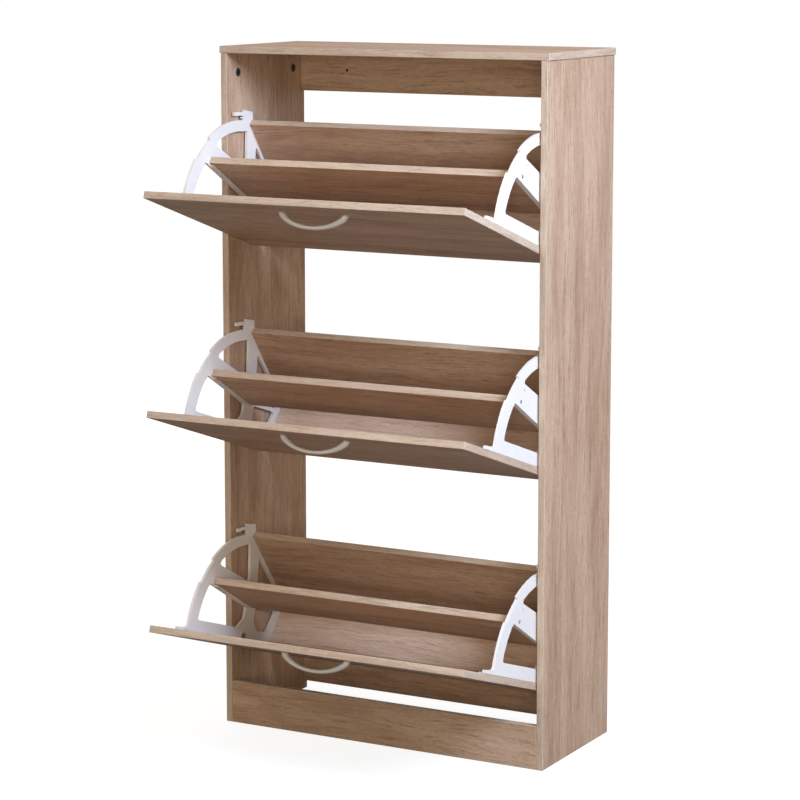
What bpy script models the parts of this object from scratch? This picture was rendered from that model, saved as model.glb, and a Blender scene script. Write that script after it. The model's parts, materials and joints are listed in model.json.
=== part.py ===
"""Shoe cabinet with three tilt-out flaps, modelled with every flap tipped open.

The world is in metres with +Z up, +X to the cabinet's right and +Y towards its back. The origin is the middle
of the plinth's underside. Each flap hangs from an empty on its pivot axis; inside that empty the flap is drawn
in its closed position, by how far a point lies behind the pivot and how far above it, and the empty's
rotation tips the flap open.
"""
import math

import bmesh
import bpy
from mathutils import Vector

# Driving sizes of the carcass
WIDTH = 0.625
DEPTH = 0.260
HEIGHT = 1.190
BOARD = 0.012
TOP_OVERHANG = 0.0025
RAIL_HEIGHT = 0.075
REAR_RAIL_LIFT = 0.016
EDGE_RADIUS = 0.0006
FIT = 0.0003
MELD = 0.0004
PAST = 0.001

# Driving sizes of the flaps
FLAPS = ("lower", "middle", "upper")
FLAP_BOTTOM = 0.084
PANEL_GAP = 0.005
PANEL_END_GAP = 0.002
OPEN_ANGLE = math.radians(72)
PIVOT_BACK = 0.021
PIVOT_UP = 0.068

# Flip bracket, as radii about the pivot
BRACKET_INSET = 0.003
BRACKET_THICKNESS = 0.005
RIM_OUTER = 0.181
RIM_INNER_FRONT = 0.155
RIM_INNER_REAR = 0.162
RIM_RECESS = 0.1765
FINGER_INNER = 0.189
FINGER_OUTER = 0.195
BLOCK_OUTER = 0.199
BLOCK_START = 3.6
BLOCK_END = 11.6
FINGER_END = 20.5
LEDGE = 0.0025
LEDGE_DEPTH = 0.005
STILE_BACK = 0.0135
RIB_WIDTH = 0.0066
FOOT_THICKNESS = 0.0017
FOOT_WIDTH = 0.017
HUB_RADIUS = 0.0084
BOSS_RISE = 0.002
PIN_RADIUS = 0.004
PIN_CLEARANCE = 0.00035
PIN_HEAD_RADIUS = 0.0065
PIN_HEAD_HEIGHT = 0.0022
STUD_RADIUS = 0.0025
BORE_DEPTH = 0.009

# Flap boards, in the closed position: distance behind and above the pivot
BACK_BOARD_TOP = Vector((0.1755, 0.0170))
BACK_BOARD_SLOPE = math.radians(55)
BACK_BOARD_LENGTH = 0.174
FLOOR_FRONT = Vector((-0.0015, -0.0944))
FLOOR_SLOPE = math.radians(-24)
FLOOR_LENGTH = 0.0947
DIVIDER_LOW = Vector((0.0515, -0.0115))
DIVIDER_SLOPE = math.radians(78)
DIVIDER_LENGTH = 0.137

# Handle
HANDLE_DOWN = 0.050
HANDLE_HALF_SPAN = 0.060
HANDLE_RISE = 0.0235
HANDLE_FOOT_TURN = 0.27
HANDLE_SCREW_X = 0.058
SCREW_RADIUS = 0.0014
SCREW_REACH = 0.0040
SCREW_HEAD_RADIUS = 0.0038
SCREW_HEAD_HEIGHT = 0.0020
SCREW_SEAT_DEPTH = 0.0026

# Cam fittings
CAM_RADIUS = 0.0075
CAM_DEPTH = 0.0095
CAM_BELOW_TOP = 0.034
CAM_FROM_END = 0.024
TOP_CAM_BACK = (0.037, 0.222)
WALL_HOLE_RADIUS = 0.0025
WALL_HOLE_FROM_SIDE = 0.095

FRONT = -BOARD / 2
SIDE_OUTER = WIDTH / 2 - TOP_OVERHANG
SIDE_INNER = SIDE_OUTER - BOARD
TOP_UNDERSIDE = HEIGHT - BOARD
PITCH = (TOP_UNDERSIDE - FLAP_BOTTOM) / len(FLAPS)
PANEL_HEIGHT = PITCH - PANEL_GAP
BOARD_END = SIDE_INNER - BRACKET_INSET - BRACKET_THICKNESS - FIT
PANEL_INNER = BOARD - PIVOT_BACK
HANDLE_UP = PANEL_HEIGHT - PIVOT_UP - HANDLE_DOWN


def material(name, colour, roughness, metallic=0.0):
    """A Principled finish."""
    made = bpy.data.materials.new(name)
    made.use_nodes = True
    shader = made.node_tree.nodes["Principled BSDF"]
    shader.inputs["Base Color"].default_value = (*colour, 1.0)
    shader.inputs["Roughness"].default_value = roughness
    shader.inputs["Metallic"].default_value = metallic
    return made


def add_object(name, bm, finish, parent=None):
    """Turn a bmesh into a named object with its faces pointing out."""
    bmesh.ops.recalc_face_normals(bm, faces=bm.faces[:])
    mesh = bpy.data.meshes.new(name)
    bm.to_mesh(mesh)
    bm.free()
    if finish:
        mesh.materials.append(finish)
    obj = bpy.data.objects.new(name, mesh)
    bpy.context.scene.collection.objects.link(obj)
    obj.parent = parent
    return obj


def board(name, size, centre, finish, parent=None, tilt=0.0):
    """A board with slightly rounded edges."""
    bm = bmesh.new()
    bmesh.ops.create_cube(bm, size=1.0)
    bmesh.ops.scale(bm, vec=size, verts=bm.verts)
    bmesh.ops.bevel(bm, geom=bm.edges[:], offset=EDGE_RADIUS, segments=1, affect="EDGES")
    obj = add_object(name, bm, finish, parent)
    obj.location = centre
    obj.rotation_euler = (tilt, 0, 0)
    return obj


def extrude_outline(loops, x_from, x_to):
    """A slab from x_from to x_to; the first loop is its outline and the others are holes."""
    bm = bmesh.new()
    edges = []
    for loop in loops:
        verts = [bm.verts.new((x_from, back, up)) for back, up in loop]
        edges += [bm.edges.new(pair) for pair in zip(verts, verts[1:] + verts[:1])]
    filled = bmesh.ops.triangle_fill(bm, use_beauty=True, edges=edges, normal=(1, 0, 0))
    faces = [item for item in filled["geom"] if isinstance(item, bmesh.types.BMFace)]
    extruded = bmesh.ops.extrude_face_region(bm, geom=faces)
    moved = [item for item in extruded["geom"] if isinstance(item, bmesh.types.BMVert)]
    bmesh.ops.translate(bm, vec=(x_to - x_from, 0, 0), verts=moved)
    return bm


def skin(bm, rings):
    """Close a body around successive rings of points, with a flat face at each end."""
    for ring, following in zip(rings, rings[1:]):
        for i in range(len(ring)):
            j = (i + 1) % len(ring)
            bm.faces.new((ring[i], ring[j], following[j], following[i]))
    bm.faces.new(rings[0])
    bm.faces.new(rings[-1])


def lathe(profile, segments=16, along="X", x=0.0, up=0.0):
    """A solid turned about a line along X or Y, from pairs of a place on that line and a radius."""
    bm = bmesh.new()
    rings = []
    for place, radius in profile:
        angles = [2 * math.pi * i / segments for i in range(segments)]
        circle = [(radius * math.cos(a), up + radius * math.sin(a)) for a in angles]
        points = [(place, a, b) if along == "X" else (x + a, place, b) for a, b in circle]
        rings.append([bm.verts.new(point) for point in points])
    skin(bm, rings)
    return bm


def cylinder(radius, start, end, segments=16, along="X", x=0.0, up=0.0):
    """A cylinder along X or Y."""
    return lathe([(start, radius), (end, radius)], segments, along, x, up)


def marker(name, place, facing=(1, 0, 0)):
    """An empty whose X axis looks along facing."""
    empty = bpy.data.objects.new(name, None)
    bpy.context.scene.collection.objects.link(empty)
    empty.location = place
    empty.rotation_mode = "QUATERNION"
    empty.rotation_quaternion = Vector((1, 0, 0)).rotation_difference(Vector(facing))
    return empty


def boolean(obj, other, operation):
    """Cut or join a hidden helper object."""
    other.hide_render = True
    other.display_type = "WIRE"
    modifier = obj.modifiers.new(other.name, "BOOLEAN")
    modifier.operation = operation
    modifier.solver = "EXACT"
    modifier.object = other


def arc(radius, start, end, steps):
    """Points on a circle about the pivot, from one angle to another in degrees."""
    angles = [math.radians(start + (end - start) * i / steps) for i in range(steps + 1)]
    return [(radius * math.cos(a), radius * math.sin(a)) for a in angles]


def rounded(corners, steps=3):
    """A closed outline from (back, up, radius) corners, each replaced by an arc of its radius."""
    points = []
    for index, (back, up, radius) in enumerate(corners):
        here = Vector((back, up))
        if not radius:
            points.append(tuple(here))
            continue
        before = (Vector(corners[index - 1][:2]) - here).normalized()
        after = (Vector(corners[(index + 1) % len(corners)][:2]) - here).normalized()
        half = before.angle(after) / 2
        centre = here + (before + after).normalized() * radius / math.sin(half)
        start = here + before * radius / math.tan(half) - centre
        end = here + after * radius / math.tan(half) - centre
        for step in range(steps + 1):
            blend = start.slerp(end, step / steps)
            points.append(tuple(centre + blend.normalized() * radius))
    return points


def sharp(points):
    """The points as unrounded corners."""
    return [(back, up, 0) for back, up in points]


def direction(slope):
    """A unit vector in the (back, up) plane."""
    return Vector((math.cos(slope), math.sin(slope)))


def crossing(point, along, other_point, other_along):
    """Where two lines in the (back, up) plane meet."""
    gap = other_point - point
    determinant = along.x * -other_along.y + other_along.x * along.y
    distance = (gap.x * -other_along.y + other_along.x * gap.y) / determinant
    return point + along * distance


BACK_ALONG = direction(BACK_BOARD_SLOPE)
BACK_BEHIND = Vector((BACK_ALONG.y, -BACK_ALONG.x))
FLOOR_ALONG = direction(FLOOR_SLOPE)
FLOOR_BELOW = Vector((FLOOR_ALONG.y, -FLOOR_ALONG.x))
DIVIDER_ALONG = direction(DIVIDER_SLOPE)
DIVIDER_BEHIND = Vector((DIVIDER_ALONG.y, -DIVIDER_ALONG.x))


def bracket_outline():
    """The bracket's outer edge: toe, rim, snap finger, back board, floor and foot."""
    margin = BOARD + FIT + LEDGE + MELD
    rear_low = BACK_BOARD_TOP - BACK_ALONG * (BACK_BOARD_LENGTH + 0.0015) + BACK_BEHIND * margin
    rear_top = BACK_BOARD_TOP + BACK_BEHIND * margin
    floor_rear = FLOOR_FRONT + FLOOR_ALONG * FLOOR_LENGTH + FLOOR_BELOW * margin
    floor_front = FLOOR_FRONT + FLOOR_ALONG * 0.006 + FLOOR_BELOW * margin
    front = PANEL_INNER + 2 * FIT
    heel = front + 0.003
    toe = [(heel, floor_front.y + 0.006), (heel, -PIVOT_UP - 0.003), (front, -PIVOT_UP), (front, 0.214),
           (front + 0.005, 0.214), (-0.0015, RIM_OUTER + 0.005)]
    rim = arc(RIM_OUTER, 89.5, 64.5, 5) + arc(RIM_RECESS, 64, 48, 3) + arc(RIM_OUTER, 47.5, BLOCK_END, 7)
    finger = arc(FINGER_INNER, BLOCK_END, FINGER_END, 3) + arc(FINGER_OUTER, FINGER_END, BLOCK_END, 3)
    block = arc(BLOCK_OUTER, BLOCK_END, BLOCK_START, 1)
    below = [rear_top, rear_low, floor_rear, floor_front]
    return toe + rim + finger + block + [tuple(point) for point in below]


def bracket_windows():
    """The four openings in the bracket's plate: ahead of the divider, behind it and two below the spoke."""
    web = DIVIDER_BEHIND * -(FIT + LEDGE + MELD)
    low = DIVIDER_LOW + web + DIVIDER_ALONG * 0.0125
    high = DIVIDER_LOW + web + DIVIDER_ALONG * 0.1465
    rib = BACK_BOARD_TOP - BACK_BEHIND * RIB_WIDTH
    rail = Vector((STILE_BACK, -0.0825))
    rib_foot = crossing(rib, BACK_ALONG, rail, direction(math.radians(-27)))
    rib_top = crossing(rib, BACK_ALONG, Vector((0.101, -0.024)), direction(math.radians(10)))

    ahead = [(STILE_BACK, 0.1520, 0.003)] + sharp(arc(RIM_INNER_FRONT, 83, 63, 4))
    ahead += [(*high, 0.002), (*low, 0.006), (0.031, 0.001, 0.010), (STILE_BACK, 0.021, 0.006)]
    behind = [(0.115, 0.112, 0.004)] + sharp(arc(RIM_INNER_REAR, 41, 11, 5))
    behind += [(0.1635, 0.0190, 0.003), (0.0955, 0.001, 0.006)]
    toe_side = [(0.027, -0.033, 0.006), (0.0525, -0.0300, 0.003), (0.0535, -0.1029, 0.003), (*rail, 0.004),
                (STILE_BACK, -0.047, 0.008)]
    heel_side = [(0.0600, -0.0295, 0.003), (0.101, -0.024, 0), (*rib_top, 0.002), (*rib_foot, 0.004),
                 (0.0605, -0.1064, 0.003)]
    return [rounded(corners) for corners in (ahead, behind, toe_side, heel_side)]


def strip(start, along, length, across, near, far):
    """The four corners of a strip beside a line."""
    end = start + along * length
    return [tuple(start + across * near), tuple(end + across * near), tuple(end + across * far),
            tuple(start + across * far)]


def helper(name, bm, parent):
    """A hidden solid that is joined to or cut from another."""
    return add_object(name, bm, None, parent)


def flip_bracket(name, side, finish, pivot):
    """One moulded bracket: plate with windows, foot flange, ledges under the boards and a drilled hub."""
    wall = side * SIDE_INNER
    outer = wall - side * BRACKET_INSET
    inner = outer - side * BRACKET_THICKNESS
    mid = (outer + inner) / 2
    ledge_edge = inner - side * LEDGE_DEPTH
    plate = extrude_outline([bracket_outline()] + bracket_windows(), outer, inner)
    obj = add_object(name, plate, finish, pivot)

    foot_front = PANEL_INNER + FIT
    foot_back = foot_front + FOOT_THICKNESS
    foot = [(foot_front, -0.064), (foot_back, -0.064), (foot_back, 0.205), (foot_front, 0.209)]
    boolean(obj, helper(name + "_foot", extrude_outline([foot], outer - side * MELD, wall - side * FOOT_WIDTH),
                        pivot), "UNION")
    near, far = BOARD + FIT, BOARD + FIT + LEDGE
    lines = {
        "divider": strip(DIVIDER_LOW + DIVIDER_ALONG * 0.004, DIVIDER_ALONG, 0.126, DIVIDER_BEHIND,
                         -FIT, -FIT - LEDGE),
        "back": strip(BACK_BOARD_TOP - BACK_ALONG * 0.010, -BACK_ALONG, 0.150, BACK_BEHIND, near, far),
        "floor": strip(FLOOR_FRONT + FLOOR_ALONG * 0.012, FLOOR_ALONG, 0.076, FLOOR_BELOW, near, far),
    }
    for label, loop in lines.items():
        ledge = helper(f"{name}_{label}_ledge", extrude_outline([loop], mid, ledge_edge), pivot)
        boolean(obj, ledge, "UNION")
    boss = helper(name + "_boss", cylinder(HUB_RADIUS, wall - side * MELD, inner - side * BOSS_RISE, 20), pivot)
    boolean(obj, boss, "UNION")
    hole = cylinder(PIN_RADIUS + PIN_CLEARANCE, wall + side * PAST, inner - side * 2 * BOSS_RISE)
    boolean(obj, helper(name + "_hole", hole, pivot), "DIFFERENCE")
    return obj


def cross_recess(obj, face_x, inwards, size, depth, back=0.0, up=0.0, parent=None, turn=0.0):
    """Cut a cross-shaped driver recess into a head that faces along X."""
    arm, half = size, size * 0.22
    corners = [(arm, -half), (arm, half), (half, half), (half, arm), (-half, arm), (-half, half), (-arm, half),
               (-arm, -half), (-half, -half), (-half, -arm), (half, -arm), (half, -half)]
    cos, sin = math.cos(turn), math.sin(turn)
    loop = [(back + y * cos - z * sin, up + y * sin + z * cos) for y, z in corners]
    cutter = extrude_outline([loop], face_x - inwards * PAST, face_x + inwards * depth)
    boolean(obj, helper(obj.name + "_recess", cutter, parent), "DIFFERENCE")


def pivot_pin(name, side, finish, location):
    """The shouldered screw that a bracket turns on, driven into the side panel."""
    wall = SIDE_INNER
    shoulder = wall - BRACKET_INSET - BRACKET_THICKNESS - BOSS_RISE - FIT
    head = shoulder - PIN_HEAD_HEIGHT
    profile = [(wall + BORE_DEPTH - FIT, PIN_RADIUS - 0.001), (wall + BORE_DEPTH - 0.0013, PIN_RADIUS),
               (shoulder, PIN_RADIUS), (shoulder, PIN_HEAD_RADIUS), (head + 0.0006, PIN_HEAD_RADIUS),
               (head, PIN_HEAD_RADIUS - 0.0008)]
    obj = add_object(name, lathe([(side * x, r) for x, r in profile]), finish)
    obj.location = location
    cross_recess(obj, side * head, side, 0.0030, 0.0012, parent=marker(name + "_place", location), turn=0.4)
    return obj


def handle_section(turn):
    """Centre, tangent and two radii of the bow at a turn from 0 to pi."""
    rise = max(0.0, math.sin(turn)) ** 1.35
    centre = Vector((HANDLE_HALF_SPAN * math.cos(turn), -HANDLE_RISE * rise))
    blend = math.cos(turn) ** 2
    return centre, 0.0031 + 0.0022 * blend, 0.0048 + 0.0020 * blend


def bow_handle(name, finish, pivot):
    """A bow swept between two feet, thick at the feet and slender in the middle."""
    sections, around = 16, 12
    face = -PIVOT_BACK - FIT
    bm = bmesh.new()
    rings = []
    span = math.pi - 2 * HANDLE_FOOT_TURN
    turns = [0] + [HANDLE_FOOT_TURN + span * index / sections for index in range(sections + 1)] + [math.pi]
    for turn in turns:
        centre, thick, wide = handle_section(turn)
        if turn in (0, math.pi):
            normal = Vector((math.cos(turn), 0))
        else:
            ahead = handle_section(turn + 0.01)[0] - handle_section(turn - 0.01)[0]
            normal = Vector((-ahead.y, ahead.x)).normalized()
        ring = []
        for step in range(around):
            angle = 2 * math.pi * step / around
            offset = normal * thick * math.cos(angle)
            ring.append(bm.verts.new((centre.x + offset.x, face + centre.y + offset.y,
                                      HANDLE_UP + wide * math.sin(angle))))
        rings.append(ring)
    skin(bm, rings)
    obj = add_object(name, bm, finish, pivot)
    for x in (-HANDLE_SCREW_X, HANDLE_SCREW_X):
        hole = cylinder(SCREW_RADIUS + FIT, face + PAST, face - SCREW_REACH - FIT, 12, "Y", x, HANDLE_UP)
        boolean(obj, helper(f"{name}_hole", hole, pivot), "DIFFERENCE")


def handle_screw(name, x, finish, pivot):
    """A screw from a seat inside the flap into the handle's foot."""
    seat = PANEL_INNER - SCREW_SEAT_DEPTH + FIT
    crown = seat + SCREW_HEAD_HEIGHT
    tip = -PIVOT_BACK - SCREW_REACH
    profile = [(tip, SCREW_RADIUS - 0.0002), (tip + 0.0008, SCREW_RADIUS), (seat, SCREW_RADIUS),
               (seat, SCREW_HEAD_RADIUS), (crown - 0.0008, SCREW_HEAD_RADIUS), (crown, SCREW_HEAD_RADIUS - 0.001)]
    return add_object(name, lathe(profile, 12, "Y", x, HANDLE_UP), finish, pivot)


def sloped_board(name, low, along, thickness_side, length, finish, pivot):
    """A flap board given by the lower end of one face, its direction and the side its thickness lies on."""
    centre = low + along * (length / 2) + thickness_side * (BOARD / 2)
    tilt = math.atan2(along.y, along.x)
    return board(name, (2 * BOARD_END, length, BOARD), (0, centre.x, centre.y), finish, pivot, tilt)


def cam_lock(name, facing, centre, finish):
    """A cam disc sunk in its bore, with a cross recess; facing is the unit axis that its face looks along."""
    profile = [(-CAM_DEPTH + FIT, CAM_RADIUS - FIT - 0.0006), (-CAM_DEPTH + 0.001, CAM_RADIUS - FIT),
               (-0.0008, CAM_RADIUS - FIT), (-0.0003, CAM_RADIUS - FIT - 0.0005)]
    obj = add_object(name, lathe(profile), finish)
    place = marker(name + "_place", centre, facing)
    obj.parent = place
    cross_recess(obj, -0.0003, -1, 0.0042, 0.0022, parent=place, turn=0.5)
    return obj


def bore(panel, name, facing, centre, radius, depth):
    """Cut a round bore into a board from the face that looks along facing."""
    place = marker(name + "_place", centre, facing)
    boolean(panel, helper(name, cylinder(radius, PAST, -depth), place), "DIFFERENCE")


def fit_cam(panel, name, facing, centre, finish):
    """A cam lock and its bore."""
    bore(panel, name + "_bore", facing, centre, CAM_RADIUS, CAM_DEPTH)
    cam_lock(name, facing, centre, finish)


def pivot_height(index):
    """Height of a flap's axis above the floor."""
    return FLAP_BOTTOM + PITCH * index + PIVOT_UP


def stud_place(index):
    """Where a flap's stop stud sits: just ahead of the open bracket's stop block."""
    radius = (RIM_OUTER + FINGER_INNER) / 2
    angle = OPEN_ANGLE + math.radians(BLOCK_END) + (STUD_RADIUS + FIT) / radius
    return (FRONT + PIVOT_BACK + radius * math.cos(angle), pivot_height(index) + radius * math.sin(angle))


def build_carcass(oak, zinc):
    """Two sides, top, plinth and two rear rails, with their cam fittings."""
    middle = FRONT + DEPTH / 2
    for label, side in (("left", -1), ("right", 1)):
        x = side * (SIDE_INNER + BOARD / 2)
        panel = board(f"side_panel_{label}", (BOARD, DEPTH, TOP_UNDERSIDE - FIT),
                      (x, middle, (TOP_UNDERSIDE - FIT) / 2), oak)
        for position, back in zip(("front", "rear"), TOP_CAM_BACK):
            place = (side * SIDE_INNER, FRONT + back, TOP_UNDERSIDE - CAM_BELOW_TOP)
            fit_cam(panel, f"top_cam_{label}_{position}", (-side, 0, 0), place, zinc)
        for index, flap in enumerate(FLAPS):
            place = (side * SIDE_INNER, FRONT + PIVOT_BACK, pivot_height(index))
            bore(panel, f"{label}_{flap}_pin_bore", (-side, 0, 0), place, PIN_RADIUS + FIT, BORE_DEPTH)
            back, up = stud_place(index)
            bore(panel, f"{label}_{flap}_stud_bore", (-side, 0, 0), (side * SIDE_INNER, back, up),
                 STUD_RADIUS + FIT, BORE_DEPTH)
    board("top_panel", (WIDTH, DEPTH, BOARD), (0, middle, HEIGHT - BOARD / 2), oak)
    span = 2 * (SIDE_INNER - FIT)
    rear = FRONT + DEPTH - BOARD / 2
    top_rail_z = TOP_UNDERSIDE - FIT - RAIL_HEIGHT / 2
    rails = {
        "plinth": (0.0, RAIL_HEIGHT / 2),
        "rear_rail_bottom": (rear, REAR_RAIL_LIFT + RAIL_HEIGHT / 2),
        "rear_rail_top": (rear, top_rail_z),
    }
    for name, (y, z) in rails.items():
        rail = board(name, (span, BOARD, RAIL_HEIGHT), (0, y, z), oak)
        for label, side in (("left", -1), ("right", 1)):
            place = (side * (span / 2 - CAM_FROM_END), y + BOARD / 2, z)
            fit_cam(rail, f"{name}_cam_{label}", (0, 1, 0), place, zinc)
            if name == "rear_rail_top":
                hole = cylinder(WALL_HOLE_RADIUS, y - BOARD, y + BOARD, 16, "Y",
                                side * (SIDE_INNER - WALL_HOLE_FROM_SIDE), z)
                boolean(rail, helper(f"wall_hole_{label}", hole, None), "DIFFERENCE")


def build_flap(index, flap, oak, plastic, handle_metal, steel):
    """One tilt-out flap on its pivot, with the fixed pins and studs that it works against."""
    axis_y = FRONT + PIVOT_BACK
    pivot = bpy.data.objects.new(f"{flap}_pivot", None)
    bpy.context.scene.collection.objects.link(pivot)
    pivot.location = (0, axis_y, pivot_height(index))
    pivot.rotation_euler = (OPEN_ANGLE, 0, 0)

    panel_half = SIDE_INNER - PANEL_END_GAP
    panel = board(f"{flap}_front_panel", (2 * panel_half, BOARD, PANEL_HEIGHT),
                  (0, BOARD / 2 - PIVOT_BACK, PANEL_HEIGHT / 2 - PIVOT_UP), oak, pivot)
    for label, x in (("left", -HANDLE_SCREW_X), ("right", HANDLE_SCREW_X)):
        hole = cylinder(SCREW_RADIUS + FIT, -PIVOT_BACK - PAST, PANEL_INNER + PAST, 12, "Y", x, HANDLE_UP)
        boolean(panel, helper(f"{flap}_{label}_screw_hole", hole, pivot), "DIFFERENCE")
        seat = cylinder(SCREW_HEAD_RADIUS + FIT, PANEL_INNER - SCREW_SEAT_DEPTH, PANEL_INNER + PAST, 12, "Y",
                        x, HANDLE_UP)
        boolean(panel, helper(f"{flap}_{label}_screw_seat", seat, pivot), "DIFFERENCE")
        handle_screw(f"{flap}_handle_screw_{label}", x, steel, pivot)
    bow_handle(f"{flap}_handle", handle_metal, pivot)

    sloped_board(f"{flap}_divider_board", DIVIDER_LOW, DIVIDER_ALONG, DIVIDER_BEHIND, DIVIDER_LENGTH, oak, pivot)
    sloped_board(f"{flap}_back_board", BACK_BOARD_TOP - BACK_ALONG * BACK_BOARD_LENGTH, BACK_ALONG,
                 BACK_BEHIND, BACK_BOARD_LENGTH, oak, pivot)
    sloped_board(f"{flap}_floor_board", FLOOR_FRONT, FLOOR_ALONG, FLOOR_BELOW, FLOOR_LENGTH, oak, pivot)

    stud_back, stud_up = stud_place(index)
    for label, side in (("left", -1), ("right", 1)):
        flip_bracket(f"{flap}_bracket_{label}", side, plastic, pivot)
        pivot_pin(f"{flap}_pivot_pin_{label}", side, steel, (0, axis_y, pivot_height(index)))
        profile = [(SIDE_INNER + BORE_DEPTH - FIT, STUD_RADIUS), (SIDE_INNER - 0.0044, STUD_RADIUS),
                   (SIDE_INNER - 0.005, STUD_RADIUS - 0.0006)]
        stud = add_object(f"{flap}_stop_stud_{label}", lathe([(side * x, r) for x, r in profile], 12), steel)
        stud.location = (0, stud_back, stud_up)


def main():
    """Clear the scene and build the cabinet."""
    for obj in list(bpy.data.objects):
        bpy.data.objects.remove(obj)
    oak = material("sonoma_oak", (0.50, 0.37, 0.27), 0.55)
    plastic = material("white_plastic", (0.86, 0.85, 0.86), 0.35)
    handle_metal = material("satin_handle", (0.78, 0.78, 0.80), 0.30, 0.9)
    steel = material("zinc_steel", (0.62, 0.62, 0.63), 0.35, 1.0)
    build_carcass(oak, steel)
    for index, flap in enumerate(FLAPS):
        build_flap(index, flap, oak, plastic, handle_metal, steel)


main()
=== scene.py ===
"""Shoe cabinet with three tilt-out flaps: looks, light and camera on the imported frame."""
import json
import math

import bmesh
import bpy
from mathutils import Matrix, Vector


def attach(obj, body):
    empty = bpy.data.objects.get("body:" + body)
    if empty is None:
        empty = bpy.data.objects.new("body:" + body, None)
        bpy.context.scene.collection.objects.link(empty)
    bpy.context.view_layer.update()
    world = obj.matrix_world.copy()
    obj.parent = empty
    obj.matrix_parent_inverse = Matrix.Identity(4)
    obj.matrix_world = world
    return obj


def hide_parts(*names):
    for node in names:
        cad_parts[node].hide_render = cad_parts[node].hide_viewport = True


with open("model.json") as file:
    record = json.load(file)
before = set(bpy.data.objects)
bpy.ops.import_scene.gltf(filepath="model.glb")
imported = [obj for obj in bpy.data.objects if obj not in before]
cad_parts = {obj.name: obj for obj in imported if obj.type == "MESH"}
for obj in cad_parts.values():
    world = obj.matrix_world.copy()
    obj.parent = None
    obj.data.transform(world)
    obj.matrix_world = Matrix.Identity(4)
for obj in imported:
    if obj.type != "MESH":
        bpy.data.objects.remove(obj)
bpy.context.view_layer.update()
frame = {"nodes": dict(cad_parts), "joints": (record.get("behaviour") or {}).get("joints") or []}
NODES = frame["nodes"]
FLAPS = ("lower", "middle", "upper")
PIVOTS = {joint["child"].split("_")[0]: Vector(joint["pos_m"]) for joint in frame["joints"]}
X, Y, Z = Vector((1, 0, 0)), Vector((0, 1, 0)), Vector((0, 0, 1))

# Sizes taken from the CAD. A flap's are for the closed flap, and PIVOT_BACK and PIVOT_UP say how far its pivot
# lies behind the panel's face and above the panel's lower edge.
OPEN = math.radians(72)
FIT = 0.0003
BOARD = 0.012
PIVOT_BACK, PIVOT_UP = 0.021, 0.068
PANEL_HEIGHT = 0.35967
BRACKET_OUTER = 0.295
SIDE_INNER = 0.298

# Each sloping board's start behind and above the pivot, slope in degrees, length, and the shares of that length
# at which its screws stand
SLOPING_BOARDS = {
    "divider_board": ((0.0515, -0.0115), 78, 0.137, (0.22, 0.93)),
    "back_board": ((0.0757, -0.1255), 55, 0.174, (0.22, 0.84)),
    "floor_board": ((-0.0015, -0.0944), -24, 0.0947, (0.22, 0.84)),
}

# Bow handle: half its span, how far it stands out, and how far it lies below the panel's upper edge. Its centre
# line is a half turn whose rise is raised to a power, drawn from HANDLE_FOOT_TURN in from each end.
HANDLE_HALF_SPAN, HANDLE_RISE, HANDLE_DOWN = 0.060, 0.0235, 0.050
HANDLE_RISE_POWER = 1.35
HANDLE_FOOT_TURN = 0.27
HANDLE_AROUND, HANDLE_SECTIONS = 28, 72
TURN_STEP = 0.01
# Half the thickness and half the width at its middle, and what each gains towards the feet
HANDLE_THICK, HANDLE_THICK_GAIN = 0.0031, 0.0022
HANDLE_WIDE, HANDLE_WIDE_GAIN = 0.0048, 0.0020

# Screw heads: radius, rise above the plate, reach of the recess's arms and its depth
BOARD_SCREW = (0.0031, 0.0003, 0.0017, 0.0012)
FOOT_SCREW = (0.0032, 0.0014, 0.0018, 0.0010)
PIP = (0.0014, 0.0002, 0.0008, 0.0008)
PIP_PLACE = (0.1046, 0.1054)
FOOT_SCREW_UPS = (-0.045, 0.045, 0.120, 0.192)
FOOT_SCREW_BACK = -0.0070
FOOT_SCREW_FROM_SIDE = 0.0125
# A recess's turn in radians: a first one, and what each next board and each next screw adds
BOARD_SCREW_TURN, TURN_PER_BOARD, TURN_PER_SCREW = 0.5, 0.9, 0.7
FOOT_SCREW_TURN, TURN_PER_FOOT_SCREW = 0.3, 0.8
PIP_TURN = 0.3
# Heads are sunk a little into the plate; their rim and crown are shares of their rise and radius
HEAD_SEGMENTS = 24
HEAD_SUNK = 0.0004
HEAD_RIM, HEAD_CROWN = 0.45, 0.86
RECESS_ARM_HALF, RECESS_TAPER = 0.26, 0.8

BRACKET_EDGE = 0.0006
SOFT_EDGE_ANGLE = math.radians(35)
# How nearly a polygon faces a direction to count as facing it, and how far inside a board a bore's polygons lie
SQUARE_ON = 0.8
BORE_MARGIN = 0.0008

# Studio
STUDIO_RADIUS = 30.0
FLOOR_DROP = 0.0005
FLOOR_GLOW = 0.88
FLOOR_GREYS = (0.21, 0.21, 0.21, 1), (0.19, 0.19, 0.19, 1)
SKY_COLOUR = (1.0, 0.93, 0.85, 1)
SKY_BELOW, SKY_SIDE, SKY_ABOVE = 0.18, 0.44, 0.82
# Each lamp's place, the point it looks at, its size, power and colour
LAMPS = {
    "key": ((1.95, -0.85, 1.95), (0.1, 0.0, 0.75), 0.9, 68, (0.82, 1.05, 1.48)),
    "front": ((2.3, -4.4, 1.15), (0, 0, 0.6), 1.4, 86, (1.0, 0.96, 0.84)),
    "rear": ((-2.7, 2.9, 0.7), (0, 0, 0.6), 0.8, 34, (1.0, 0.97, 0.93)),
}
CAMERA_PLACE = (2.2213, -4.0023, 1.3758)
CAMERA_YAW, CAMERA_PITCH = -0.4997, -0.1445
CAMERA_LENS, CAMERA_SENSOR, CAMERA_SHIFT = 123.66, 36.0, -0.08


def turned(angle):
    """A unit vector at an angle from the closed flap's horizontal, as it lies with the flap open."""
    return Vector((0, math.cos(angle + OPEN), math.sin(angle + OPEN)))


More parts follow.
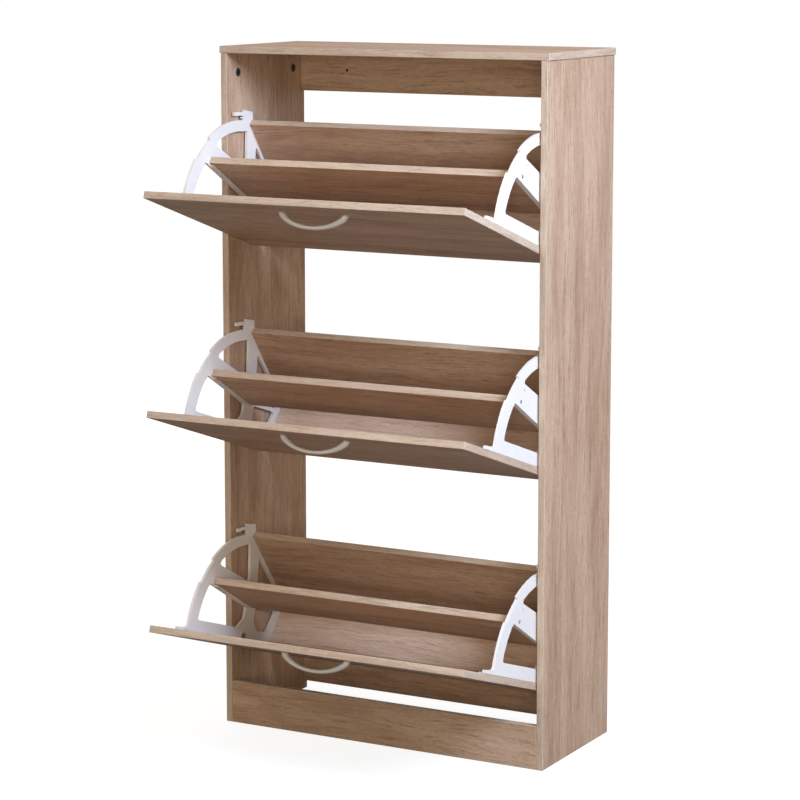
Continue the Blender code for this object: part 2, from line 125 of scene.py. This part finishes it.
def opened(flap, x, back, up):
    """The place of a point given by its distance behind and above a closed flap's pivot."""
    return PIVOTS[flap] + Vector((x, 0, 0)) + turned(0) * back + turned(math.pi / 2) * up


# ---------------------------------------------------------------- shader building

class Nodes:
    """Short names for adding and wiring shader nodes."""

    def __init__(self, tree):
        self.tree = tree

    def add(self, kind, settings=(), **inputs):
        """A node with its settings and inputs. Inputs i0, i1 and so on go by number, and others by name."""
        node = self.tree.nodes.new(kind)
        for key, value in dict(settings).items():
            setattr(node, key, value)
        for key, value in inputs.items():
            socket = node.inputs[int(key[1:])] if key[0] == "i" and key[1:].isdigit() else node.inputs[key]
            if isinstance(value, bpy.types.NodeSocket):
                self.tree.links.new(value, socket)
            else:
                socket.default_value = value
        return node

    def math(self, operation, first, second=0.0):
        return self.add("ShaderNodeMath", {"operation": operation}, i0=first, i1=second).outputs[0]

    def times(self, first, second):
        return self.math("MULTIPLY", first, second)

    def scaled(self, vector, scale, shift=(0, 0, 0)):
        """vector * scale + shift."""
        return self.add("ShaderNodeVectorMath", {"operation": "MULTIPLY_ADD"},
                        i0=vector, i1=scale, i2=shift).outputs[0]

    def noise(self, vector, detail=2.0, rough=0.5):
        return self.add("ShaderNodeTexNoise", Vector=vector, Scale=1.0, Detail=detail,
                        Roughness=rough).outputs["Fac"]

    def streaks(self, vector, along, across, shift=(0, 0, 0), detail=2.0, rough=0.5):
        """Noise by its cycles per metre along and across the grain."""
        return self.noise(self.scaled(vector, (along, across, across), shift), detail, rough)

    def step(self, value, low, high, to_low=0.0, to_high=1.0):
        """A smooth ramp of value from low..high to to_low..to_high."""
        node = self.tree.nodes.new("ShaderNodeMapRange")
        node.interpolation_type = "SMOOTHSTEP"
        self.tree.links.new(value, node.inputs["Value"])
        for key, number in (("From Min", low), ("From Max", high), ("To Min", to_low), ("To Max", to_high)):
            node.inputs[key].default_value = number
        return node.outputs["Result"]

    def mix(self, factor, first, second):
        """A colour between first and second."""
        return self.add("ShaderNodeMix", {"data_type": "RGBA"}, Factor=factor, i6=first, i7=second).outputs[2]


def new_material(name):
    """A material, its node builder and its Principled shader."""
    material = bpy.data.materials.new(name)
    material.use_nodes = True
    return material, Nodes(material.node_tree), material.node_tree.nodes["Principled BSDF"]


def srgb(red, green, blue):
    """An sRGB colour of 0..255 as linear RGBA."""
    return tuple((c / 255 / 12.92) if c / 255 <= 0.04045 else ((c / 255 + 0.055) / 1.055) ** 2.4
                 for c in (red, green, blue)) + (1.0,)


def grain_group():
    """Sawn oak print: X of its vector runs along the grain, in metres, and Y and Z across it."""
    tree = bpy.data.node_groups.new("sawn_oak_grain", "ShaderNodeTree")
    sockets = tree.interface
    sockets.new_socket("Vector", in_out="INPUT", socket_type="NodeSocketVector")
    for name in ("Dark", "Mid", "Light"):
        sockets.new_socket(name, in_out="INPUT", socket_type="NodeSocketColor")
    sockets.new_socket("Color", in_out="OUTPUT", socket_type="NodeSocketColor")
    sockets.new_socket("Roughness", in_out="OUTPUT", socket_type="NodeSocketFloat")
    sockets.new_socket("Height", in_out="OUTPUT", socket_type="NodeSocketFloat")
    n = Nodes(tree)
    given = tree.nodes.new("NodeGroupInput").outputs
    place = given["Vector"]

    # Slow bends of the grain, and a fine tremble that makes every streak ragged
    sway = n.times(n.math("SUBTRACT", n.streaks(place, 2.4, 7.0), 0.5), 0.045)
    tremble = n.times(n.math("SUBTRACT", n.streaks(place, 45, 70, detail=3.0, rough=0.7), 0.5), 0.009)
    bend = n.add("ShaderNodeCombineXYZ", Y=n.math("ADD", sway, tremble)).outputs[0]
    bent = n.add("ShaderNodeVectorMath", {"operation": "ADD"}, i0=place, i1=bend).outputs[0]

    # Growth rings cut at a slant, which make arches where the field is flat
    field = n.streaks(bent, 0.9, 5.5, detail=1.0, rough=0.4)
    rings = n.step(n.math("SINE", n.times(field, 120.0)), -0.1, 1.0)

    # Streaks from a hand's length down to a pore, each a band of noise stretched along the grain
    broad = n.streaks(bent, 2.0, 20.0)
    band = n.streaks(bent, 4.5, 75.0, (3.7, 1.9, 0.4), 3.0, 0.6)
    dash = n.streaks(bent, 14.0, 300.0, (1.3, 5.9, 2.7), 3.0, 0.65)
    fibre = n.streaks(bent, 40.0, 900.0, rough=0.6)
    pores = n.step(n.streaks(bent, 75.0, 1700.0, detail=1.0), 0.58, 0.72)
    long_streak = n.step(n.streaks(bent, 1.7, 38.0, (8.8, 2.3, 5.5), rough=0.6), 0.60, 0.72)

    # Saw marks across the grain and feathered light veins, both in patches
    patch = n.step(n.streaks(place, 5.0, 22.0, (9.1, 4.3, 2.2)), 0.45, 0.66)
    saw = n.times(n.step(n.streaks(place, 480.0, 42.0, rough=0.6), 0.52, 0.68), patch)
    vein = n.streaks(bent, 17.0, 60.0, (2.9, 7.7, 1.1), 3.0, 0.6)
    vein = n.step(n.math("ABSOLUTE", n.math("SUBTRACT", vein, 0.5)), 0.030, 0.0)
    vein = n.times(vein, n.step(broad, 0.48, 0.62))

    tone = n.mix(n.step(broad, 0.32, 0.68, 0.12, 0.86), given["Mid"], given["Light"])
    layers = (
        (n.times(rings, n.step(broad, 0.66, 0.36, 0.0, 0.20)), "Dark"),
        (n.step(band, 0.42, 0.68, 0.0, 0.17), "Dark"),
        (n.step(dash, 0.52, 0.68, 0.0, 0.58), "Dark"),
        (n.step(dash, 0.48, 0.34, 0.0, 0.36), "Light"),
        (n.times(long_streak, 0.32), "Dark"),
        (n.step(fibre, 0.55, 0.32, 0.0, 0.34), "Dark"),
        (n.times(saw, 0.42), "Light"),
        (n.times(vein, 0.48), "Light"),
        (n.times(pores, 0.55), "Dark"),
    )
    for strength, towards in layers:
        tone = n.mix(strength, tone, given[towards])

    rough = n.math("ADD", n.step(dash, 0.3, 0.7, 0.47, 0.59), n.times(pores, 0.12))
    height = n.math("ADD", n.times(fibre, 0.5), n.times(saw, 0.3))
    height = n.math("SUBTRACT", height, n.times(pores, 0.6))
    height = n.math("SUBTRACT", height, n.times(dash, 0.5))
    n.add("NodeGroupOutput", Color=tone, Roughness=rough, Height=height)
    return tree


GRAIN = grain_group()
# Dark, middle and light tone of the foil on faces, on the floor boards' faces and on edges. The floor boards'
# tones are paler than the other faces': painted light for the light that falls into the open flaps onto them
FACE = (srgb(128, 91, 66), srgb(176, 140, 112), srgb(195, 163, 135))
FLOOR_FACE_PAINTED_LIGHT = (srgb(164, 127, 100), srgb(212, 178, 150), srgb(226, 197, 171))
EDGE = (srgb(150, 121, 97), srgb(184, 157, 133), srgb(199, 175, 151))


def oak(name, along, across, through, tones, shift):
    """Foil on one kind of board, its grain running along the first direction."""
    material, n, shader = new_material(name)
    place = n.add("ShaderNodeTexCoord").outputs["Object"]
    parts = {}
    for axis, way in zip("XYZ", (along, across, through)):
        parts[axis] = n.add("ShaderNodeVectorMath", {"operation": "DOT_PRODUCT"}, i0=place,
                            i1=tuple(way)).outputs["Value"]
    local = n.add("ShaderNodeCombineXYZ", **parts).outputs[0]
    moved = n.scaled(local, (1, 1, 1), shift)
    dark, mid, light = tones
    grain = n.add("ShaderNodeGroup", {"node_tree": GRAIN}, Vector=moved, Dark=dark, Mid=mid, Light=light)
    link = material.node_tree.links.new
    link(grain.outputs["Color"], shader.inputs["Base Color"])
    link(grain.outputs["Roughness"], shader.inputs["Roughness"])
    bump = n.add("ShaderNodeBump", Strength=0.30, Distance=0.0003, Height=grain.outputs["Height"])
    link(bump.outputs[0], shader.inputs["Normal"])
    shader.inputs["Specular IOR Level"].default_value = 0.40
    return material


def plain(name, colour, spread, roughness, metallic, fine, bump, brushed=(1, 1, 1)):
    """Moulded, metal or raw finish: slight tone drift, fine surface texture and uneven gloss."""
    material, n, shader = new_material(name)
    place = n.add("ShaderNodeTexCoord").outputs["Object"]
    drift = n.noise(n.scaled(place, (14, 14, 14)), 3.0)
    texture = n.noise(n.scaled(place, tuple(fine * b for b in brushed)), 2.0, 0.6)
    darker = tuple(c * (1 - spread) for c in colour[:3]) + (1.0,)
    tone = n.mix(n.step(drift, 0.35, 0.65), colour, darker)
    tone = n.mix(n.step(texture, 0.35, 0.7, 0.0, 0.5), tone, darker)
    uneven = n.math("ADD", n.times(drift, 0.5), n.times(texture, 0.5))
    gloss = n.step(uneven, 0.3, 0.7, roughness - 0.06, roughness + 0.06)
    normal = n.add("ShaderNodeBump", Strength=bump, Distance=0.0002, Height=texture)
    link = material.node_tree.links.new
    link(tone, shader.inputs["Base Color"])
    link(gloss, shader.inputs["Roughness"])
    link(normal.outputs[0], shader.inputs["Normal"])
    shader.inputs["Metallic"].default_value = metallic
    return material


# Raw chipboard for the bores, darker than chipboard is: painted shade inside the holes
chipboard_with_painted_shade = plain("raw_chipboard_painted_shade", srgb(74, 54, 38), spread=0.45, roughness=0.86, metallic=0.0, fine=700,
                  bump=0.5)
plastic = plain("moulded_white", srgb(223, 214, 205), spread=0.05, roughness=0.42, metallic=0.0, fine=900,
                bump=0.12)
satin = plain("satin_silver", srgb(222, 214, 204), spread=0.10, roughness=0.38, metallic=0.15, fine=700,
              bump=0.10, brushed=(0.06, 1, 1))
zinc = plain("zinc_plate", srgb(178, 178, 180), spread=0.18, roughness=0.34, metallic=1.0, fine=500, bump=0.15)
# The cam casting's grey is darkened well below zinc's, painted shade for the cams' recesses
cast_painted_shade = plain("cam_casting_painted_shade", srgb(96, 92, 90), spread=0.30, roughness=0.48, metallic=0.9, fine=420, bump=0.30)

# ---------------------------------------------------------------- finishes of the CAD nodes

ON_FACE, ON_LONG_EDGE, ON_SHORT_EDGE, IN_BORE = range(4)


def foil(kind, along, across, through, shift, tones=FACE):
    """The materials of a kind of board: its faces, its long edges, its short edges and its bores, the last a
    chipboard darkened as painted shade in the holes.
    """
    edge_shift = (shift[1] + 0.37, shift[2] + 0.21, shift[0])
    return (oak(f"oak_{kind}_face", along, across, through, tones, shift),
            oak(f"oak_{kind}_long_edge", along, through, across, EDGE, edge_shift),
            oak(f"oak_{kind}_short_edge", across, through, along, EDGE, edge_shift),
            chipboard_with_painted_shade)


def dress_board(node, along, through, materials):
    """Give a board its foil by the way each polygon looks; polygons well inside it are bores."""
    mesh = node.data
    mesh.materials.clear()
    for material in materials:
        mesh.materials.append(material)
    spans = []
    for way in (along, through, along.cross(through)):
        reach = [vertex.co.dot(way) for vertex in mesh.vertices]
        spans.append((way, min(reach) + BORE_MARGIN, max(reach) - BORE_MARGIN))
    for polygon in mesh.polygons:
        if all(low < polygon.center.dot(way) < high for way, low, high in spans):
            polygon.material_index = IN_BORE
        elif abs(polygon.normal.dot(through)) > SQUARE_ON:
            polygon.material_index = ON_FACE
        elif abs(polygon.normal.dot(along)) > SQUARE_ON:
            polygon.material_index = ON_SHORT_EDGE
        else:
            polygon.material_index = ON_LONG_EDGE


def dress_boards():
    """Foil on every board, the grain along its length."""
    side_foil = foil("side", Z, Y, X, (0.13, 0.52, 0.0))
    top_foil = foil("top", X, Y, Z, (1.7, 0.9, 0.3))
    rail_foil = foil("rail", X, Z, Y, (2.3, 0.15, 0.6))
    dress_board(NODES["side_panel_left"], Z, X, side_foil)
    dress_board(NODES["side_panel_right"], Z, X, side_foil)
    dress_board(NODES["top_panel"], X, Z, top_foil)
    for name in ("plinth", "rear_rail_top", "rear_rail_bottom"):
        dress_board(NODES[name], X, Y, rail_foil)
    slopes = {"front_panel": 90}
    slopes.update({kind: degrees for kind, (_, degrees, _, _) in SLOPING_BOARDS.items()})
    for index, (kind, degrees) in enumerate(slopes.items()):
        slope = math.radians(degrees)
        across, through = turned(slope), turned(slope - math.pi / 2)
        shift = (0.41 + 1.3 * index, 0.23 * index, 0.7 * index)
        # The floor boards take the paler tones, painted light on their faces
        board_foil = foil(kind, X, across, through, shift, FLOOR_FACE_PAINTED_LIGHT if kind == "floor_board" else FACE)
        for flap in FLAPS:
            dress_board(NODES[f"{flap}_{kind}"], X, through, board_foil)


def dress(node, material):
    """One finish for a whole node."""
    node.data.materials.clear()
    node.data.materials.append(material)
    for polygon in node.data.polygons:
        polygon.material_index = 0


def soften(node, width):
    """Rounded edges that catch the light."""
    bevel = node.modifiers.new("edges", "BEVEL")
    bevel.width = width
    bevel.segments = 2
    bevel.limit_method = "ANGLE"
    bevel.angle_limit = SOFT_EDGE_ANGLE
    bevel.use_clamp_overlap = True
    bevel.harden_normals = True
    for polygon in node.data.polygons:
        polygon.use_smooth = True


def dress_fittings():
    """Finishes of the cams, pins, studs, screws and brackets."""
    for name, node in NODES.items():
        if "_cam_" in name:
            # The cams take the darkened casting, painted shade of their recesses
            dress(node, cast_painted_shade)
        elif "pivot_pin" in name or "stop_stud" in name or "handle_screw" in name:
            dress(node, zinc)
        elif "_bracket_" in name:
            dress(node, plastic)
            soften(node, BRACKET_EDGE)


dress_boards()
dress_fittings()

# ---------------------------------------------------------------- added pieces


def finish_piece(name, bm, material, body):
    """Turn a bmesh drawn in the row frame into a piece that rides on a body."""
    bmesh.ops.recalc_face_normals(bm, faces=bm.faces[:])
    mesh = bpy.data.meshes.new(name)
    bm.to_mesh(mesh)
    bm.free()
    mesh.materials.append(material)
    obj = bpy.data.objects.new(name, mesh)
    bpy.context.scene.collection.objects.link(obj)
    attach(obj, body)
    return obj


def bow_centre(turn):
    """The bow's centre line at a turn from 0 to pi, as its place along X and out from the panel."""
    rise = max(0.0, math.sin(turn)) ** HANDLE_RISE_POWER
    return Vector((HANDLE_HALF_SPAN * math.cos(turn), -HANDLE_RISE * rise))


def bow(flap):
    """The bow handle, drawn finely: broad feet that flow into a slender round middle."""
    middle_up = PANEL_HEIGHT - PIVOT_UP - HANDLE_DOWN
    face = -PIVOT_BACK - FIT
    free = math.pi - 2 * HANDLE_FOOT_TURN
    turns = [HANDLE_FOOT_TURN + free * i / HANDLE_SECTIONS for i in range(HANDLE_SECTIONS + 1)]
    bm = bmesh.new()
    rings = []
    for turn in [0.0] + turns + [math.pi]:
        centre = bow_centre(turn)
        blend = math.cos(turn) ** 2
        thick = HANDLE_THICK + HANDLE_THICK_GAIN * blend
        wide = HANDLE_WIDE + HANDLE_WIDE_GAIN * blend
        if turn in (0.0, math.pi):
            normal = Vector((math.cos(turn), 0))
        else:
            ahead = bow_centre(turn + TURN_STEP) - bow_centre(turn - TURN_STEP)
            normal = Vector((-ahead.y, ahead.x)).normalized()
        ring = []
        for step in range(HANDLE_AROUND):
            angle = 2 * math.pi * step / HANDLE_AROUND
            offset = normal * thick * math.cos(angle)
            ring.append(bm.verts.new(opened(flap, centre.x + offset.x, face + centre.y + offset.y,
                                            middle_up + wide * math.sin(angle))))
        rings.append(ring)
    for ring, following in zip(rings, rings[1:]):
        for i in range(HANDLE_AROUND):
            j = (i + 1) % HANDLE_AROUND
            bm.faces.new((ring[i], ring[j], following[j], following[i])).smooth = True
    bm.faces.new(rings[0])
    bm.faces.new(rings[-1])
    obj = finish_piece(f"{flap}_bow", bm, satin, f"{flap}_flap")
    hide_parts(f"{flap}_handle")


def cross_outline(arm, turn):
    """The twelve corners of a cross recess, turned by an angle."""
    half = arm * RECESS_ARM_HALF
    corners = [(arm, -half), (arm, half), (half, half), (half, arm), (-half, arm), (-half, half), (-arm, half),
               (-arm, -half), (-half, -half), (-half, -arm), (half, -arm), (half, -half)]
    cos, sin = math.cos(turn), math.sin(turn)
    return [(a * cos - b * sin, a * sin + b * cos) for a, b in corners]


def recessed_head(bm, centre, outwards, side_way, sizes, turn):
    """A low screw head with a cross recess, standing on a plate at centre and facing outwards."""
    radius, rise, arm, depth = sizes
    other = outwards.cross(side_way)
    step = 2 * math.pi / HEAD_SEGMENTS
    circle = [(math.cos(step * i), math.sin(step * i)) for i in range(HEAD_SEGMENTS)]
    cross = cross_outline(arm, turn)

    def loop(points, scale, height):
        return [bm.verts.new(centre + side_way * (a * scale) + other * (b * scale) + outwards * height)
                for a, b in points]

    low = loop(circle, radius, -HEAD_SUNK)
    rim = loop(circle, radius, rise * HEAD_RIM)
    crown = loop(circle, radius * HEAD_CROWN, rise)
    mouth = loop(cross, 1.0, rise)
    bottom = loop(cross, RECESS_TAPER, rise - depth)
    for ring, following in ((low, rim), (rim, crown), (mouth, bottom)):
        for i in range(len(ring)):
            j = (i + 1) % len(ring)
            bm.faces.new((ring[i], ring[j], following[j], following[i]))
    edges = []
    for ring in (crown, mouth):
        for pair in zip(ring, ring[1:] + ring[:1]):
            edges.append(bm.edges.get(pair) or bm.edges.new(pair))
    bmesh.ops.triangle_fill(bm, use_beauty=True, edges=edges, normal=outwards)
    bm.faces.new(low)
    bm.faces.new(bottom)


def bracket_screws(flap, side):
    """Countersunk screws through a bracket into the boards' ends, a small pip, and pan heads on its foot."""
    bm = bmesh.new()
    plate = side * BRACKET_OUTER
    for order, (start, degrees, length, shares) in enumerate(SLOPING_BOARDS.values()):
        slope = math.radians(degrees)
        along = Vector((math.cos(slope), math.sin(slope)))
        behind = Vector((along.y, -along.x))
        for number, share in enumerate(shares):
            spot = Vector(start) + along * length * share + behind * BOARD / 2
            recessed_head(bm, opened(flap, plate, spot.x, spot.y), X * side, turned(0), BOARD_SCREW,
                          BOARD_SCREW_TURN + TURN_PER_BOARD * order + TURN_PER_SCREW * number)
    recessed_head(bm, opened(flap, plate, *PIP_PLACE), X * side, turned(0), PIP, PIP_TURN)
    for number, up in enumerate(FOOT_SCREW_UPS):
        foot = opened(flap, side * (SIDE_INNER - FOOT_SCREW_FROM_SIDE), FOOT_SCREW_BACK, up)
        recessed_head(bm, foot, turned(0), X, FOOT_SCREW, FOOT_SCREW_TURN + TURN_PER_FOOT_SCREW * number)
    name = "left" if side < 0 else "right"
    finish_piece(f"{flap}_bracket_screws_{name}", bm, zinc, f"{flap}_flap")


for flap in FLAPS:
    bow(flap)
    for side in (-1, 1):
        bracket_screws(flap, side)

# ---------------------------------------------------------------- stage, light and camera


def stage_piece(name, bm, material):
    """A mesh of the studio, not of the cabinet."""
    mesh = bpy.data.meshes.new(name)
    bm.to_mesh(mesh)
    bm.free()
    mesh.materials.append(material)
    obj = bpy.data.objects.new(name, mesh)
    bpy.context.scene.collection.objects.link(obj)
    return obj


def studio_floor():
    """A wide plain floor: near white as seen, but grey to the light that it throws back."""
    paper, n, shader = new_material("studio_paper")
    place = n.add("ShaderNodeTexCoord").outputs["Object"]
    tone = n.mix(n.noise(n.scaled(place, (3, 3, 3)), 2.0), *FLOOR_GREYS)
    paper.node_tree.links.new(tone, shader.inputs["Base Color"])
    shader.inputs["Roughness"].default_value = 0.9
    shader.inputs["Specular IOR Level"].default_value = 0.0
    shader.inputs["Emission Color"].default_value = (1, 1, 1, 1)
    seen = n.times(n.add("ShaderNodeLightPath").outputs["Is Camera Ray"], FLOOR_GLOW)
    paper.node_tree.links.new(seen, shader.inputs["Emission Strength"])
    bm = bmesh.new()
    bmesh.ops.create_grid(bm, x_segments=2, y_segments=2, size=STUDIO_RADIUS)
    floor = stage_piece("studio_floor", bm, paper)
    floor.location.z = -FLOOR_DROP


def studio_backdrop():
    """A white dome that is seen but neither lights nor shades the cabinet."""
    white, _, shader = new_material("studio_white")
    shader.inputs["Base Color"].default_value = (0, 0, 0, 1)
    shader.inputs["Specular IOR Level"].default_value = 0.0
    shader.inputs["Emission Color"].default_value = (1, 1, 1, 1)
    shader.inputs["Emission Strength"].default_value = 1.0
    bm = bmesh.new()
    bmesh.ops.create_uvsphere(bm, u_segments=32, v_segments=16, radius=STUDIO_RADIUS)
    dome = stage_piece("studio_backdrop", bm, white)
    dome.visible_diffuse = False
    dome.visible_glossy = False
    dome.visible_shadow = False


def studio_world():
    """Soft warm light from all round that grows from the ground to the zenith."""
    world = bpy.data.worlds.new("studio")
    world.use_nodes = True
    bpy.context.scene.world = world
    n = Nodes(world.node_tree)
    way = n.add("ShaderNodeTexCoord").outputs["Generated"]
    height = n.add("ShaderNodeSeparateXYZ", Vector=way).outputs["Z"]
    lower = n.step(height, -0.25, 0.1, SKY_BELOW, SKY_SIDE)
    higher = n.step(height, 0.1, 0.9, 0.0, SKY_ABOVE - SKY_SIDE)
    sky = world.node_tree.nodes["Background"]
    sky.inputs["Color"].default_value = SKY_COLOUR
    world.node_tree.links.new(n.math("ADD", lower, higher), sky.inputs["Strength"])


def area_light(name, place, target, size, power, colour):
    """A soft square lamp that looks at a point and doesn't show itself."""
    data = bpy.data.lights.new(name, "AREA")
    data.shape = "SQUARE"
    data.size = size
    data.energy = power
    data.color = colour
    lamp = bpy.data.objects.new(name, data)
    bpy.context.scene.collection.objects.link(lamp)
    lamp.location = place
    lamp.visible_camera = False
    lamp.rotation_mode = "QUATERNION"
    lamp.rotation_quaternion = (Vector(target) - Vector(place)).to_track_quat("-Z", "Y")


def studio_camera():
    """The camera, level in roll, by its yaw from +Y and its pitch."""
    data = bpy.data.cameras.new("camera")
    camera = bpy.data.objects.new("camera", data)
    bpy.context.scene.collection.objects.link(camera)
    camera.location = CAMERA_PLACE
    level = math.cos(CAMERA_PITCH)
    forward = Vector((math.sin(CAMERA_YAW) * level, math.cos(CAMERA_YAW) * level, math.sin(CAMERA_PITCH)))
    camera.rotation_mode = "QUATERNION"
    camera.rotation_quaternion = forward.to_track_quat("-Z", "Y")
    data.sensor_width = CAMERA_SENSOR
    data.lens = CAMERA_LENS
    data.shift_y = CAMERA_SHIFT
    bpy.context.scene.camera = camera


studio_floor()
studio_backdrop()
studio_world()
for lamp_name, lamp_settings in LAMPS.items():
    area_light(lamp_name, *lamp_settings)
studio_camera()
bpy.context.scene.view_settings.view_transform = "Standard"
